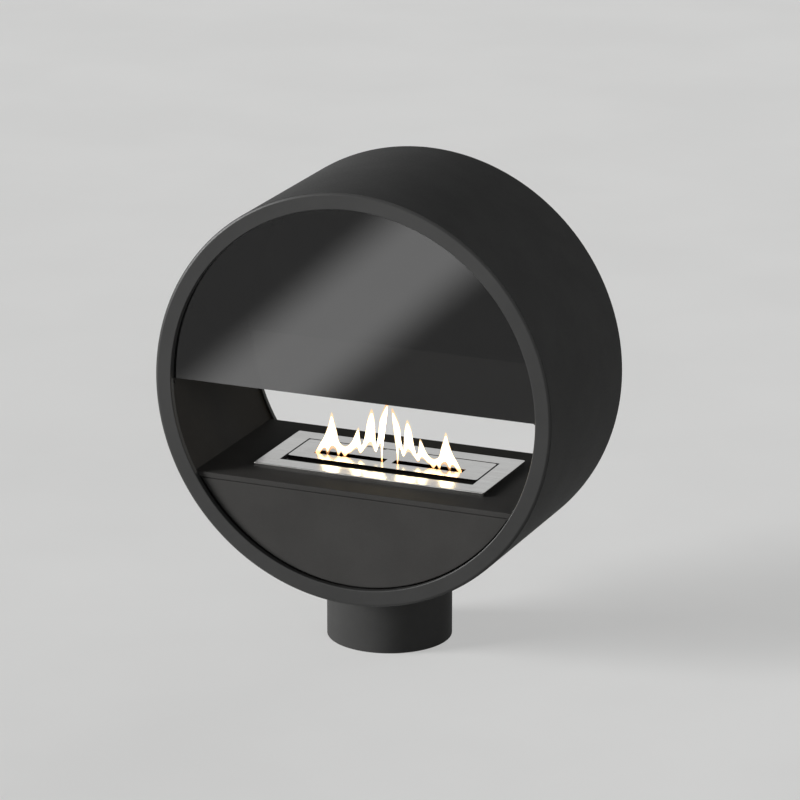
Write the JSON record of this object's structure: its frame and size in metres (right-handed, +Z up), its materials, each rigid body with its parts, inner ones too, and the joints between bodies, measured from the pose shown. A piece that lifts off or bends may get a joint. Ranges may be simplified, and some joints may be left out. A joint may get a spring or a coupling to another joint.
{
  "type": "drum fireplace",
  "caption": "Round see-through fire drum on a short pedestal, with smoked panes above a hearth deck and a drop-in steel burner whose slotted lid slides to shut the flame slots.",
  "frame": {"origin": "centre of the pedestal's foot, on the floor", "axes": "+Z up, +Y to the back along the drum's axis, +X to the right as seen from the front"},
  "size_m": [0.9, 0.42, 1.033],
  "materials": {
    "graphite_paint": "satin",
    "hearth_paint": "satin",
    "smoked_glass": "polished",
    "gasket_rubber": "matte",
    "stainless_steel": "brushed",
    "zinc_steel": "satin",
    "nickel": "polished",
    "mineral_fibre": "matte"
  },
  "bodies": {
    "drum": {"outer_shell": "graphite_paint", "front_rim": "graphite_paint", "rear_rim": "graphite_paint", "pedestal_tube": "graphite_paint", "inner_liner": "hearth_paint", "hearth_deck": "hearth_paint", "lower_rear_panel": "hearth_paint", "pane_clips": "hearth_paint", "pane_rests": "hearth_paint", "pane_screws": "hearth_paint", "panel_tabs": "hearth_paint", "front_pane": "smoked_glass", "rear_pane": "smoked_glass", "front_pane_gasket": "gasket_rubber", "rear_pane_gasket": "gasket_rubber", "floor_pads": "gasket_rubber", "left_deck_rail": "zinc_steel", "right_deck_rail": "zinc_steel", "rear_panel_bosses": "zinc_steel", "rear_panel_screws": "zinc_steel", "drum_bolts": "zinc_steel", "wall_spacers": "zinc_steel", "weld_nuts": "zinc_steel", "saddle_flange": "zinc_steel", "base_plate": "zinc_steel", "panel_magnets": "nickel", "wall_insulation": "mineral_fibre"},
    "burner": {"burner_tray": "stainless_steel", "burner_plate": "stainless_steel", "lid_guides": "stainless_steel", "fuel_tank": "stainless_steel", "fibre_pad": "mineral_fibre"},
    "lid": {"slide_lid": "stainless_steel"},
    "front_cover": {"lower_front_panel": "hearth_paint"}
  },
  "joints": [
    {"name": "burner_lift", "type": "slide", "parent": "drum", "child": "burner", "axis": [0, 0, 1], "range_m": [0, 0.1]},
    {"name": "lid_slide", "type": "slide", "parent": "burner", "child": "lid", "axis": [0, -1, 0], "range_m": [0, 0.029]},
    {"name": "front_cover_pull", "type": "slide", "parent": "drum", "child": "front_cover", "axis": [0, -1, 0], "range_m": [0, 0.06]}
  ]
}
